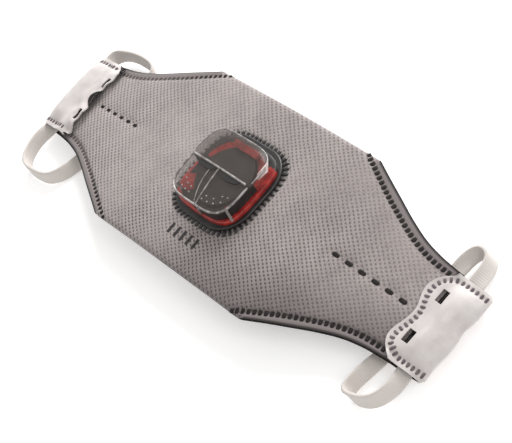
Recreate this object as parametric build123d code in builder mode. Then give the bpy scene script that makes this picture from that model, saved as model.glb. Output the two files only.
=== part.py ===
from build123d import *
import os
from math import hypot, radians, tan

os.makedirs("parts", exist_ok=True)

# Fold-flat half mask, lying on its back with the exhalation valve up.
# Millimetres. X runs along the long axis, Y up the face, Z out of the front.
# The origin is under the middle of the mask, on the surface it lies on.

# ---------- driving dimensions ----------
CROWN = 17.1            # height of the front panel's crown
BEND_X = 605.0          # radius of the front panel along X
BEND_Y = 662.0          # radius of the front panel along Y
FOLD_HALF = 45.0        # half length of the straight folds
FOLD_Y = 37.6           # distance of the folds from the middle
PANEL_END = 104.0       # where the front panel ends under the tabs

COVER_T = 0.5           # point-bonded cover web
CARBON_T = 0.6          # activated-carbon felt
FILTER_T = 0.4          # melt-blown filter
LINING_T = 0.3          # inner lining
FRONT_T = COVER_T + CARBON_T + FILTER_T + LINING_T

POCKET = 3.4            # space between front and back panels at the middle
BACK_X = 851.0          # radius of the back panels along X
BACK_Y = -852.0         # radius of the back panels along Y, dished
BACK_END = 97.0         # the back panels stop clear of the tabs
BACK_LINING_T = 0.3
BACK_FILTER_T = 0.5
BACK_COVER_T = 0.5
BACK_TOP = CROWN - FRONT_T - POCKET
OPENING_HALF = 8.5      # half width of the face opening between the free edges

TAB_END = 117.8         # outer fold of the strap tabs
TAB_HALF = 18.5
TAB_T = 0.6

STRAP_W = 6.0
STRAP_T = 1.0

VALVE_X, VALVE_Y = 1.0, 0.5
PORT_R = 14.0

# The side seam, from the end of the fold to the tab.
SEAM = [(46.5, 37.1), (55.2, 33.2), (65.2, 28.9), (74.5, 24.9), (84.0, 21.5),
        (92.0, 19.8), (100.0, 18.9), (104.0, 18.6)]


def domed_sheet(crown, thickness, radius_x, radius_y, half=48.0):
    """A sheet bent both ways; its upper face peaks at crown."""
    sag = half * half / (2 * radius_y)
    centre = crown - radius_x
    with BuildPart() as sheet:
        with BuildSketch(Plane.YZ):
            with BuildLine():
                ThreePointArc((-half, crown - sag), (0, crown), (half, crown - sag))
                Line((half, crown - sag), (half, crown - sag - thickness))
                ThreePointArc((half, crown - sag - thickness), (0, crown - thickness),
                              (-half, crown - sag - thickness))
                Line((-half, crown - sag - thickness), (-half, crown - sag))
            make_face()
        revolve(axis=Axis((0, 0, centre), (0, 1, 0)), revolution_arc=26)
    return sheet.part.rotate(Axis((0, 0, centre), (0, 1, 0)), -13)


def front_plan():
    """Outline of the front panel, with its concave side seams."""
    with BuildSketch() as plan:
        with BuildLine():
            for sx, sy in ((1, 1), (1, -1), (-1, -1), (-1, 1)):
                Spline(*[(sx * x, sy * y) for x, y in SEAM])
                Line((0, sy * FOLD_Y), (sx * FOLD_HALF, sy * FOLD_Y))
                Line((sx * FOLD_HALF, sy * FOLD_Y), (sx * SEAM[0][0], sy * SEAM[0][1]))
                Line((sx * PANEL_END, sy * SEAM[-1][1]), (sx * PANEL_END, 0))
        make_face()
    return plan.sketch


def back_plan(sy, fold_gap):
    """Outline of one back panel: fold, side seams and the free edge at the face."""
    inset = 0.4
    seam = [(x, y - inset) for x, y in SEAM if x < BACK_END]
    end_y = 19.0 - inset
    with BuildSketch() as plan:
        with BuildLine():
            top = FOLD_Y - fold_gap
            corner = (44.0, top)
            Line((-corner[0], sy * top), (corner[0], sy * top))
            for sx in (1, -1):
                Line((sx * corner[0], sy * top), (sx * seam[1][0], sy * seam[1][1]))
                Spline(*[(sx * x, sy * y) for x, y in seam[1:]], (sx * BACK_END, sy * end_y))
                Line((sx * BACK_END, sy * end_y), (sx * BACK_END, sy * 8.5))
            Spline((-BACK_END, sy * 8.5), (0, sy * OPENING_HALF), (BACK_END, sy * 8.5))
        make_face()
    return plan.sketch


# ---------- front panel: four webs, one on another ----------
plan_front = front_plan()
depth = 0.0
with BuildPart() as front_cover:
    with BuildSketch():
        add(plan_front)
    extrude(amount=30)
    add(domed_sheet(CROWN, COVER_T, BEND_X, BEND_Y), mode=Mode.INTERSECT)
    with BuildSketch():
        with Locations((VALVE_X, VALVE_Y)):
            Circle(PORT_R)
    extrude(amount=30, mode=Mode.SUBTRACT)
depth += COVER_T

with BuildPart() as front_carbon:
    with BuildSketch():
        add(plan_front)
    extrude(amount=30)
    add(domed_sheet(CROWN - depth, CARBON_T, BEND_X - depth, BEND_Y), mode=Mode.INTERSECT)
    with BuildSketch():
        with Locations((VALVE_X, VALVE_Y)):
            Circle(PORT_R)
    extrude(amount=30, mode=Mode.SUBTRACT)
depth += CARBON_T

with BuildPart() as front_filter:
    with BuildSketch():
        add(plan_front)
    extrude(amount=30)
    add(domed_sheet(CROWN - depth, FILTER_T, BEND_X - depth, BEND_Y), mode=Mode.INTERSECT)
    with BuildSketch():
        with Locations((VALVE_X, VALVE_Y)):
            Circle(PORT_R)
    extrude(amount=30, mode=Mode.SUBTRACT)
depth += FILTER_T

with BuildPart() as front_lining:
    with BuildSketch():
        add(plan_front)
    extrude(amount=30)
    add(domed_sheet(CROWN - depth, LINING_T, BEND_X - depth, BEND_Y), mode=Mode.INTERSECT)
    with BuildSketch():
        with Locations((VALVE_X, VALVE_Y)):
            Circle(PORT_R)
    extrude(amount=30, mode=Mode.SUBTRACT)

# ---------- back panels: lining, filter and cover, hinged on the folds ----------
WEBS = {}
for side, sy in (("upper", 1), ("lower", -1)):
    level = 0.0
    for web, thickness, gap in (("lining", BACK_LINING_T, 0.9), ("filter", BACK_FILTER_T, 0.9),
                                ("cover", BACK_COVER_T, 0.3)):
        with BuildPart() as sheet:
            with BuildSketch():
                add(back_plan(sy, gap))
            extrude(amount=30)
            add(domed_sheet(BACK_TOP - level, thickness, BACK_X - level, BACK_Y),
                mode=Mode.INTERSECT)
            if web == "cover":
                # the rolled edge that turns up to the front panel along the fold
                with BuildPart(mode=Mode.PRIVATE) as roll:
                    with BuildSketch():
                        with Locations((0, sy * (FOLD_Y - 0.55))):
                            Rectangle(2 * 43.5, 0.5)
                    extrude(amount=30)
                    add(domed_sheet(CROWN - FRONT_T - 0.35, 2.35, BEND_X - FRONT_T - 0.35,
                                    BEND_Y), mode=Mode.INTERSECT)
                add(roll.part)
        level += thickness
        WEBS[side, web] = sheet.part

# ---------- nose clip on the outside of the upper panel, foam on its inside ----------
NOSE_Y = 14.5
with BuildPart() as nose_clip:
    with BuildSketch():
        with Locations((0, NOSE_Y)):
            SlotOverall(90, 5)
    extrude(amount=30)
    add(domed_sheet(BACK_TOP - 1.3, 0.8, BACK_X - 1.3, BACK_Y), mode=Mode.INTERSECT)

with BuildPart() as nose_foam:
    with BuildSketch():
        with Locations((0, NOSE_Y)):
            SlotOverall(92, 9)
    extrude(amount=30)
    add(domed_sheet(BACK_TOP + 1.7, 1.7, BACK_X + 1.7, BACK_Y), mode=Mode.INTERSECT)

# ---------- strap tabs: a white strip folded round each end ----------
TAB_INNER = [(95.5, 9.66), (100.0, 8.92), (104.0, 8.22), (110.0, 6.75), (114.4, 5.0),
             (117.2, 2.8), (115.6, 0.65), (111.0, 0.95), (104.0, 2.75), (97.5, 4.3)]
# inner edge of the front flap, with its two lobes
TAB_LOBES = [(101.1, -19.0), (101.1, -16.6), (98.6, -14.6), (97.5, -12.2), (98.4, -6.2),
             (99.4, -2.0), (98.7, 2.8), (96.9, 7.6), (98.0, 12.6), (100.6, 15.5),
             (103.8, 16.6), (103.8, 19.0)]


def thicken(points, wall):
    """The points moved out by the wall, square to the line through them."""
    moved = []
    for i, (x, z) in enumerate(points):
        xa, za = points[max(i - 1, 0)]
        xb, zb = points[min(i + 1, len(points) - 1)]
        run = hypot(xb - xa, zb - za)
        moved.append((x - wall * (zb - za) / run, z + wall * (xb - xa) / run))
    return moved


TABS = {}
for side, sx in (("right", 1), ("left", -1)):
    with BuildPart() as tab:
        with BuildSketch(Plane.XZ.offset(-TAB_HALF)):
            with BuildLine():
                outer = thicken(TAB_INNER, TAB_T)
                Spline(*TAB_INNER)
                Line(TAB_INNER[-1], outer[-1])
                Spline(*reversed(outer))
                Line(outer[0], TAB_INNER[0])
            make_face()
        extrude(amount=2 * TAB_HALF)
        # the flat the mask lies on
        with BuildSketch(Plane.XY.offset(-2.0)):
            with Locations((110, 0)):
                Rectangle(40, 40)
        extrude(amount=2.0, mode=Mode.SUBTRACT)
        with BuildSketch(Plane.XY.offset(6.0)):
            with BuildLine():
                Spline(*TAB_LOBES)
                Polyline(TAB_LOBES[-1], (90, 19.0), (90, -19.0), TAB_LOBES[0])
            make_face()
        extrude(amount=10, mode=Mode.SUBTRACT)
        with BuildSketch(Plane.XY.offset(5.0)):
            with Locations((104.9, 8.8), (104.9, -8.8)):
                Rectangle(3.0, 5.0)
        extrude(amount=10, mode=Mode.SUBTRACT)
    TABS[side] = tab.part if sx > 0 else tab.part.mirror(Plane.YZ)

# ---------- head straps: flat elastic, one above and one below ----------
STRAP_X = 110.6         # the straps' middle line where they leave the tabs
RETURN_X = 101.3        # and where they come back under them
STRAP_PATH = [(STRAP_X, 21), (STRAP_X, 32), (RETURN_X, 32), (RETURN_X - 0.1, 15),
              (RETURN_X, 4.1), (84, 4.1), (35, 4.3), (0, 4.1), (-35, 4.3), (-84, 4.1),
              (-RETURN_X, 4.1), (0.1 - RETURN_X, 15), (-RETURN_X, 32), (-STRAP_X, 32),
              (-STRAP_X, 21)]


def corner_radii(points):
    """Arc radii that leave each straight run a tenth of its length."""
    radii = []
    for a, b, c in zip(points, points[1:], points[2:]):
        into, out = Vector(*b) - Vector(*a), Vector(*c) - Vector(*b)
        half_turn = radians(into.get_angle(out) / 2)
        radii.append(0.45 * min(into.length, out.length) / tan(half_turn))
    return radii


STRAPS = {}
for side, sy in (("upper", 1), ("lower", -1)):
    points = [(x, sy * y) for x, y in STRAP_PATH]
    radii = corner_radii(points)
    print("strap", side, "bend radii", [round(r, 1) for r in radii])
    with BuildPart() as strap:
        with BuildSketch(Plane.XY.offset(0.1)):
            with BuildLine():
                FilletPolyline(*points, radius=radii)
            trace(line_width=STRAP_W)
        extrude(amount=STRAP_T)
        # each end climbs from the table into its tab
        for sx in (1, -1):
            with BuildSketch(Plane.YZ.offset(sx * STRAP_X - STRAP_W / 2)):
                with BuildLine():
                    Polyline((sy * 12, 3.0), (sy * 18.7, 3.0), (sy * 20.4, 0.1), (sy * 22, 0.1),
                             (sy * 22, 1.1), (sy * 21.2, 1.1), (sy * 19.4, 4.0), (sy * 12, 4.0),
                             close=True)
                make_face()
            extrude(amount=STRAP_W)
    STRAPS[side] = strap.part

# ---------- exhalation valve ----------
FLANGE_Z = CROWN - 0.13
FLANGE_T = 1.0
SEAT_Z = FLANGE_Z + FLANGE_T
SEAT_T = 1.75
SEAT_TOP = SEAT_Z + SEAT_T
with BuildPart() as valve_flange:
    with BuildSketch(Plane.XY.offset(FLANGE_Z)):
        with Locations((VALVE_X, VALVE_Y)):
            RectangleRounded(39.5, 37.5, 13)
            Circle(PORT_R - 0.4, mode=Mode.SUBTRACT)
    extrude(amount=FLANGE_T)
    fillet(valve_flange.faces().sort_by(Axis.Z)[-1].outer_wire().edges(), 0.5)

with BuildPart() as valve_backing_ring:
    with BuildSketch(Plane.XY.offset(CROWN - FRONT_T - 1.25)):
        with Locations((VALVE_X, VALVE_Y)):
            RectangleRounded(37, 35, 12)
            Circle(PORT_R - 0.4, mode=Mode.SUBTRACT)
    extrude(amount=0.8)

with BuildPart() as valve_seat:
    with BuildSketch(Plane.XY.offset(SEAT_Z)):
        with Locations((VALVE_X, VALVE_Y)):
            RectangleRounded(36, 33, 11)
            Circle(11.2, mode=Mode.SUBTRACT)
    extrude(amount=SEAT_T)
    # sleeve through the webs, and the lip that the flap closes on
    with BuildSketch(Plane.XY.offset(CROWN - FRONT_T - 0.35)):
        with Locations((VALVE_X, VALVE_Y)):
            Circle(PORT_R - 0.6)
            Circle(11.2, mode=Mode.SUBTRACT)
    extrude(amount=SEAT_Z - (CROWN - FRONT_T - 0.35))
    with BuildSketch(Plane.XY.offset(SEAT_TOP)):
        with Locations((VALVE_X, VALVE_Y)):
            Circle(12.4)
            Circle(11.2, mode=Mode.SUBTRACT)
    extrude(amount=0.4)
    # cross that keeps the flap from being sucked in
    with BuildSketch(Plane.XY.offset(SEAT_TOP - 1.0)):
        with Locations((VALVE_X, VALVE_Y)):
            Rectangle(22.6, 1.8)
            Rectangle(1.8, 22.6)
    extrude(amount=1.4)

FLAP_Z = SEAT_TOP + 0.4 + 0.3
FLAP_T = 0.5
with BuildPart() as valve_flap:
    with BuildSketch(Plane.XY.offset(FLAP_Z)):
        with Locations((VALVE_X, VALVE_Y)):
            Circle(12.6)
    extrude(amount=FLAP_T)

with BuildPart() as flap_clamp:
    with BuildSketch(Plane.YZ.offset(VALVE_X - 7)):
        with BuildLine():
            y0 = VALVE_Y + 12.9
            Polyline((y0, SEAT_TOP), (y0 + 1.2, SEAT_TOP), (y0 + 1.2, FLAP_Z + FLAP_T + 1.3),
                     (y0 - 1.6, FLAP_Z + FLAP_T + 1.3), (y0 - 1.6, FLAP_Z + FLAP_T + 0.3),
                     (y0, FLAP_Z + FLAP_T + 0.3), close=True)
        make_face()
    extrude(amount=14)

PLATE_Z = CROWN + 7.3
PLATE_T = 1.1
HOOD_TOP = CROWN + 10.0
with BuildPart() as valve_cover:
    # stepped lower half of the lid
    with BuildSketch(Plane.XY.offset(PLATE_Z)):
        with Locations((VALVE_X, VALVE_Y)):
            RectangleRounded(33, 30.6, 9)
    extrude(amount=PLATE_T)
    # raised hood over the upper half, open towards the lower half
    with BuildPart(mode=Mode.PRIVATE) as hood:
        with BuildSketch(Plane.XY.offset(SEAT_TOP)):
            with Locations((VALVE_X, VALVE_Y + 8.6)):
                RectangleRounded(33, 13.4, 5.5)
        extrude(amount=HOOD_TOP - SEAT_TOP)
        fillet(hood.faces().sort_by(Axis.Z)[-1].edges(), 1.6)
        with BuildSketch(Plane.XY.offset(SEAT_TOP)):
            with Locations((VALVE_X, VALVE_Y + 8.1)):
                RectangleRounded(31, 12.4, 4.8)
        extrude(amount=HOOD_TOP - 1.0 - SEAT_TOP, mode=Mode.SUBTRACT)
        with BuildSketch(Plane.XY.offset(SEAT_TOP)):
            with Locations((VALVE_X, VALVE_Y + 1.9)):
                Rectangle(40, 10)
        extrude(amount=PLATE_Z - SEAT_TOP, mode=Mode.SUBTRACT)
    add(hood.part)
    with BuildSketch(Plane.XY.offset(PLATE_Z)):
        with Locations((VALVE_X, VALVE_Y + 8.1)):
            RectangleRounded(31, 12.4, 4.8)
    extrude(amount=HOOD_TOP - 1.0 - PLATE_Z, mode=Mode.SUBTRACT)
    # corner pillars of the open lower half
    with BuildSketch(Plane.XY.offset(SEAT_TOP)):
        with Locations((VALVE_X - 12.6, VALVE_Y - 11.2), (VALVE_X + 12.6, VALVE_Y - 11.2)):
            RectangleRounded(3.0, 3.0, 0.8)
    extrude(amount=PLATE_Z - SEAT_TOP)
    # two slots under the ridge, either side of the middle rib
    with BuildSketch(Plane.XY.offset(PLATE_Z)):
        with Locations((VALVE_X - 6.6, VALVE_Y - 0.4), (VALVE_X + 6.6, VALVE_Y - 0.4)):
            SlotOverall(9.5, 1.6)
    extrude(amount=PLATE_T, mode=Mode.SUBTRACT)
    with BuildSketch(Plane.XY.offset(PLATE_Z + PLATE_T)):
        with Locations((VALVE_X, VALVE_Y - 7.6)):
            Rectangle(1.4, 13)
    extrude(amount=0.6)

# ---------- names and files ----------
NODES = {
    "front_cover_web": front_cover.part,
    "front_carbon_felt": front_carbon.part,
    "front_filter_web": front_filter.part,
    "front_lining_web": front_lining.part,
    "upper_cover_web": WEBS["upper", "cover"],
    "upper_filter_web": WEBS["upper", "filter"],
    "upper_lining_web": WEBS["upper", "lining"],
    "lower_cover_web": WEBS["lower", "cover"],
    "lower_filter_web": WEBS["lower", "filter"],
    "lower_lining_web": WEBS["lower", "lining"],
    "nose_clip": nose_clip.part,
    "nose_foam": nose_foam.part,
    "right_tab": TABS["right"],
    "left_tab": TABS["left"],
    "head_strap_upper": STRAPS["upper"],
    "head_strap_lower": STRAPS["lower"],
    "valve_flange": valve_flange.part,
    "valve_backing_ring": valve_backing_ring.part,
    "valve_seat": valve_seat.part,
    "valve_flap": valve_flap.part,
    "flap_clamp": flap_clamp.part,
    "valve_cover": valve_cover.part,
}
for name, part in NODES.items():
    part.label = name
    export_step(part, f"parts/{name}.step")
    box = part.bounding_box()
    print(name, len(part.solids()), "solid(s)", [round(v, 2) for v in (*box.min, *box.max)])
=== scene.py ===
import math

import bpy
import numpy as np
from mathutils import Matrix, Vector


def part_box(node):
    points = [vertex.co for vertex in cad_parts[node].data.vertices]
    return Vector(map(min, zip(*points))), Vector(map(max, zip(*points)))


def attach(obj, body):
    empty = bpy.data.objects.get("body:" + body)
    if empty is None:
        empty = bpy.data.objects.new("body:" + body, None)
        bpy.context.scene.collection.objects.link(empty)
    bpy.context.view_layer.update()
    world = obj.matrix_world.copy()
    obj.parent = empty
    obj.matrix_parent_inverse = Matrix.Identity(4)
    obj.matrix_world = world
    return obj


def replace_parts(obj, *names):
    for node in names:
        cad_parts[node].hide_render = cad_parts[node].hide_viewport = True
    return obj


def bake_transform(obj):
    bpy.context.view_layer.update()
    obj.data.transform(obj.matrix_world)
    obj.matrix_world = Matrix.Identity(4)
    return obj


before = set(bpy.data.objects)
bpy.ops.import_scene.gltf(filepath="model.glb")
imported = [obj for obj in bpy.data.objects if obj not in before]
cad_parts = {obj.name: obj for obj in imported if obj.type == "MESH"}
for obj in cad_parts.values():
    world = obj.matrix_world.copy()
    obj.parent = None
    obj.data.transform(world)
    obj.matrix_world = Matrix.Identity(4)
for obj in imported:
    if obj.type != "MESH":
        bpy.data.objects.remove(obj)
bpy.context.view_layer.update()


# ---------------------------------------------------------------------------
# The table, the light and the view
# A plain pale table top, a bright room, one large soft lamp beyond the mask's
# upper left and a weak one at its right. Lengths are millimetres until a mesh
# is made.
# ---------------------------------------------------------------------------
MM = 0.001
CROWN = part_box("valve_flange")[0].z / MM + 0.13
TABLE_HALF = 3.0
ROOM_STRENGTH = 0.7
LAMPS = (("main_lamp", (-0.4, 0.95, 0.6), 0.8, 18.0), ("side_lamp", (0.9, 0.2, 0.7), 0.5, 2.2))
VIEW_ACROSS, VIEW_UPWARD = Vector((0.6046, 0.6582, -0.4486)), Vector((-0.3976, 0.7374, 0.5461))
VIEW_PLACE = (0.4403, -0.0978, 0.4260 + CROWN * MM)

table_mesh = bpy.data.meshes.new("table")
table_mesh.from_pydata([(x * TABLE_HALF, y * TABLE_HALF, 0) for x, y in
                        ((-1, -1), (1, -1), (1, 1), (-1, 1))], [], [(0, 1, 2, 3)])
table = bpy.data.objects.new("table", table_mesh)
bpy.context.scene.collection.objects.link(table)
table_paint = bpy.data.materials.new("table_paint")
table_paint.use_nodes = True
table_shader = table_paint.node_tree.nodes["Principled BSDF"]
table_shader.inputs["Base Color"].default_value = (0.92, 0.92, 0.92, 1)
table_shader.inputs["Roughness"].default_value = 0.9
table_shader.inputs["Emission Color"].default_value = (1, 1, 1, 1)
table_shader.inputs["Emission Strength"].default_value = 0.3
table_mesh.materials.append(table_paint)

room = bpy.data.worlds.new("room")
room.use_nodes = True
room.node_tree.nodes["Background"].inputs["Color"].default_value = (1.0, 0.995, 0.985, 1)
room.node_tree.nodes["Background"].inputs["Strength"].default_value = ROOM_STRENGTH
bpy.context.scene.world = room
bpy.context.scene.view_settings.view_transform = "Standard"

for name, place, size, power in LAMPS:
    lamp = bpy.data.lights.new(name, "AREA")
    lamp.shape = "DISK"
    lamp.size = size
    lamp.energy = power
    stand = bpy.data.objects.new(name, lamp)
    stand.location = place
    stand.rotation_euler = (-Vector(place)).to_track_quat("-Z", "Y").to_euler()
    bpy.context.scene.collection.objects.link(stand)

lens = bpy.data.cameras.new("view")
lens.lens = 119.0
lens.sensor_width = 36.0
lens.clip_start = 0.01
view = bpy.data.objects.new("view", lens)
turn = Matrix((VIEW_ACROSS, VIEW_UPWARD, VIEW_ACROSS.cross(VIEW_UPWARD))).transposed()
view.matrix_world = Matrix.Translation(VIEW_PLACE) @ turn.to_4x4()
bpy.context.scene.collection.objects.link(view)
bpy.context.scene.camera = view


# ---------------------------------------------------------------------------
# Head straps
# Flat white elastic, 6 mm wide. Each strap leaves one tab, turns back on its
# edge, lies flat under the mask and comes out the same way at the other tab.
# ---------------------------------------------------------------------------
ROOM_GAIN = 1.42  # how much the room's light brightens a plain white


class Value:
    """A number inside a material, so that its maths reads as plain sums."""

    def __init__(self, finish, socket):
        self.finish, self.socket = finish, socket

    def _do(self, operation, *others):
        return Value(self.finish, self.finish.node(
            "ShaderNodeMath", {"operation": operation},
            dict(enumerate(others))).outputs[0])

    def __add__(self, other): return self._do("ADD", self, other)
    def __sub__(self, other): return self._do("SUBTRACT", self, other)
    def __rsub__(self, other): return self._do("SUBTRACT", other, self)
    def __mul__(self, other): return self._do("MULTIPLY", self, other)
    def __rmul__(self, other): return self._do("MULTIPLY", other, self)
    def __truediv__(self, other): return self._do("DIVIDE", self, other)

    def wave(self): return self._do("SINE", self)
    def size(self): return self._do("ABSOLUTE", self)
    def least(self, other): return self._do("MINIMUM", self, other)
    def root(self): return self._do("SQRT", self)

    def part(self):
        """Distance to the nearest whole number, from -0.5 to 0.5."""
        return self - self._do("ROUND", self)

    def step(self, low, high):
        """0 below low, 1 above high, smooth between."""
        node = self.finish.node("ShaderNodeMapRange", {"interpolation_type": "SMOOTHSTEP"},
                                {"Value": self, "From Min": low, "From Max": high})
        return Value(self.finish, node.outputs["Result"])


class Finish:
    """A material built from nodes, with one Principled shader."""

    def __init__(self, name, **constants):
        self.material = bpy.data.materials.new(name)
        self.material.use_nodes = True
        self.tree = self.material.node_tree
        self.shader = self.tree.nodes["Principled BSDF"]
        for socket, value in constants.items():
            self.shader.inputs[socket.replace("_", " ")].default_value = value

    def node(self, kind, settings=(), inputs=()):
        made = self.tree.nodes.new(kind)
        for key, value in dict(settings).items():
            setattr(made, key, value)
        for key, value in dict(inputs).items():
            if isinstance(value, Value):
                value = value.socket
            if isinstance(value, bpy.types.NodeSocket):
                self.tree.links.new(value, made.inputs[key])
            else:
                made.inputs[key].default_value = value
        return made

    def place(self, source="Object"):
        """The piece's own x, y and z in millimetres, or its UV lengths."""
        spot = self.node("ShaderNodeTexCoord").outputs[source]
        grow = self.node("ShaderNodeVectorMath", {"operation": "SCALE"},
                         {0: spot, "Scale": 1000.0 if source == "Object" else 1.0})
        split = self.node("ShaderNodeSeparateXYZ", {}, {0: grow.outputs[0]})
        self.spot = grow.outputs[0]
        return [Value(self, split.outputs[i]) for i in range(3)]

    def noise(self, scale, detail=2.0, rough=0.5):
        """Soft random values about 0.5; scale is in cycles per millimetre."""
        made = self.node("ShaderNodeTexNoise", {},
                         {"Vector": self.spot, "Scale": scale, "Detail": detail,
                          "Roughness": rough})
        return Value(self, made.outputs["Fac"])

    def mix(self, amount, first, second):
        made = self.node("ShaderNodeMix", {"data_type": "RGBA"}, {0: amount})
        for socket, colour in ((made.inputs[6], first), (made.inputs[7], second)):
            if isinstance(colour, bpy.types.NodeSocket):
                self.tree.links.new(colour, socket)
            else:
                socket.default_value = colour
        return made.outputs[2]

    def set(self, socket, value):
        value = value.socket if isinstance(value, Value) else value
        self.tree.links.new(value, self.shader.inputs[socket])

    def bump(self, height, depth):
        """Relief of the given depth in millimetres for a height from 0 to 1."""
        made = self.node("ShaderNodeBump", {},
                         {"Height": height, "Distance": depth * MM, "Strength": 1.0})
        self.set("Normal", made.outputs["Normal"])
        return self.material


def tint(red, green, blue):
    """A colour as it looks in this bright room, from 0 to 255."""
    return (*[((c / 255 + 0.055) / 1.055) ** 2.4 / ROOM_GAIN for c in (red, green, blue)], 1)


def ease(value, low, high):
    t = np.clip((value - low) / (high - low), 0, 1)
    return t * t * (3 - 2 * t)


def make_piece(name, verts, faces, materials, which=None, uv=None):
    """A mesh piece from points in millimetres."""
    mesh = bpy.data.meshes.new(name)
    mesh.from_pydata([tuple(v) for v in np.asarray(verts) * MM], [], faces)
    for material in materials:
        mesh.materials.append(material)
    mesh.polygons.foreach_set("use_smooth", [True] * len(mesh.polygons))
    if which is not None:
        mesh.polygons.foreach_set("material_index", which)
    if uv is not None:
        layer = mesh.uv_layers.new(name="UVMap")
        for loop in mesh.loops:
            layer.data[loop.index].uv = uv[loop.vertex_index]
    mesh.update()
    piece = bpy.data.objects.new(name, mesh)
    bpy.context.scene.collection.objects.link(piece)
    return piece


def unit(vectors):
    """Each vector at length 1."""
    return vectors / np.maximum(np.linalg.norm(vectors, axis=-1, keepdims=True), 1e-9)


def travel_along(line):
    """How far along the line each of its points lies."""
    return np.concatenate([[0], np.cumsum(np.linalg.norm(np.diff(line, axis=0), axis=1))])


def tube_faces(rings, n):
    """Faces of a closed tube of so many rings, each of n points, with both ends shut."""
    faces = [(i * n + k, i * n + (k + 1) % n, (i + 1) * n + (k + 1) % n, (i + 1) * n + k)
             for i in range(rings - 1) for k in range(n)]
    return faces + [tuple(range(n))[::-1], tuple((rings - 1) * n + k for k in range(n))]


STRAP_WIDE, STRAP_THICK = 6.0, 1.35
RIB_COUNT, COURSE_PITCH = 11, 0.9
STRAP_STEPS = 320
TWIST_STEPS = 23
FLAT_BELOW, TWIST_RISE = 1.7, 2.1
ROUTES = {
    "upper": [(107.6, 9, 4.2), (107.6, 17, 4.2), (107.0, 24, 3.9), (105.2, 30.6, 3.7),
              (98.4, 30.6, 3.7), (96.6, 21, 3.2), (97, 9, 1.7), (84, 4.3, 1.2), (60, 4.5, 1.2),
              (35, 4.5, 1.2), (0, 4.3, 1.2), (-35, 4.5, 1.2), (-60, 4.4, 1.2),
              (-76, 5.0, 1.7), (-86.4, 9, 1.8), (-86.6, 21, 2.8), (-88.5, 26.8, 3.7),
              (-103, 27.2, 4.2), (-113.4, 23.2, 4.6), (-112.2, 15, 4.6), (-109, 8, 4.2)],
    "lower": [(107.6, -9, 4.2), (108.2, -17, 4.2), (109.2, -25, 3.9), (105.6, -33.8, 3.7),
              (94.4, -36.2, 3.7), (94.8, -26, 3.4), (97.5, -9, 1.7), (84, -4.3, 1.2),
              (60, -4.5, 1.2), (35, -4.5, 1.2), (0, -4.3, 1.2), (-35, -4.5, 1.2),
              (-60, -4.4, 1.2), (-76, -5.5, 1.7), (-86.2, -9.5, 1.8), (-86.4, -25, 2.6),
              (-90.5, -35.2, 3.6), (-98, -37.5, 3.8), (-109.5, -37.5, 4.0),
              (-114.2, -27, 4.4), (-112.2, -16, 4.6), (-109, -9, 4.2)],
}

elastic = Finish("white_elastic", Roughness=0.75, Sheen_Weight=0.3, Specular_IOR_Level=0.3)
wale, course, _ = elastic.place("UV")
ribs = (wale * 2 * math.pi * RIB_COUNT).wave()
knit = (course * 2 * math.pi / COURSE_PITCH).wave()
elastic.set("Base Color", elastic.mix((ribs * 0.5 + 0.5) * 0.3 + (knit * 0.5 + 0.5) * 0.2,
                                      tint(240, 232, 226), tint(224, 215, 208)))
elastic = elastic.bump(ribs * 0.35 + knit * 0.3 + 0.5, 0.06)


def route_line(name, points):
    """The strap's middle line: a smooth spline led by the route's points."""
    curve = bpy.data.curves.new(name, "CURVE")
    curve.dimensions = "3D"
    curve.resolution_u = 10
    spline = curve.splines.new("NURBS")
    spline.points.add(len(points) - 1)
    for point, place in zip(spline.points, points):
        point.co = (*[c * MM for c in place], 1)
    spline.order_u = 3
    spline.use_endpoint_u = True
    holder = bpy.data.objects.new(name, curve)
    bpy.context.scene.collection.objects.link(holder)
    mesh = bpy.data.meshes.new_from_object(holder)
    line = np.array([v.co[:] for v in mesh.vertices]) / MM
    bpy.data.objects.remove(holder)
    bpy.data.meshes.remove(mesh)
    return line


def broad_way(x, y, z):
    """Which way the strap's width points: on edge in the loops, flat elsewhere."""
    outside = ease(abs(y), 17.0, 26.0)
    if x > 103.5:
        on_edge = outside
        flat = np.array([-1.0, 0.0, 0.12])
    elif x > 80:
        on_edge = ease(abs(y), 19.0, 29.0)
        flat = np.array([-0.95, 0.25 * math.copysign(1, y), 0.1])
    elif x > -78:
        on_edge, flat = 0.0, np.array([0.0, math.copysign(1, y), 0.0])
    elif x > -98:
        on_edge = ease(abs(y), 14.0, 25.0)
        flat = np.array([0.9, 0.25 * math.copysign(1, y), 0.0])
    else:
        on_edge = outside
        flat = np.array([1.0, 0.0, -0.12])
    outer_leg = ease(-x, 98.0, 110.0)
    edge = np.array([-0.46, 0.0, 0.89] if x > 0 else
                    [0.2 * outer_leg, -(0.2 + math.copysign(0.08, y)) * (1 - outer_leg), -0.95])
    on_edge = min(on_edge, max(0.0, (z - FLAT_BELOW) / TWIST_RISE))
    return flat * (1 - on_edge) + edge * on_edge


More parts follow.
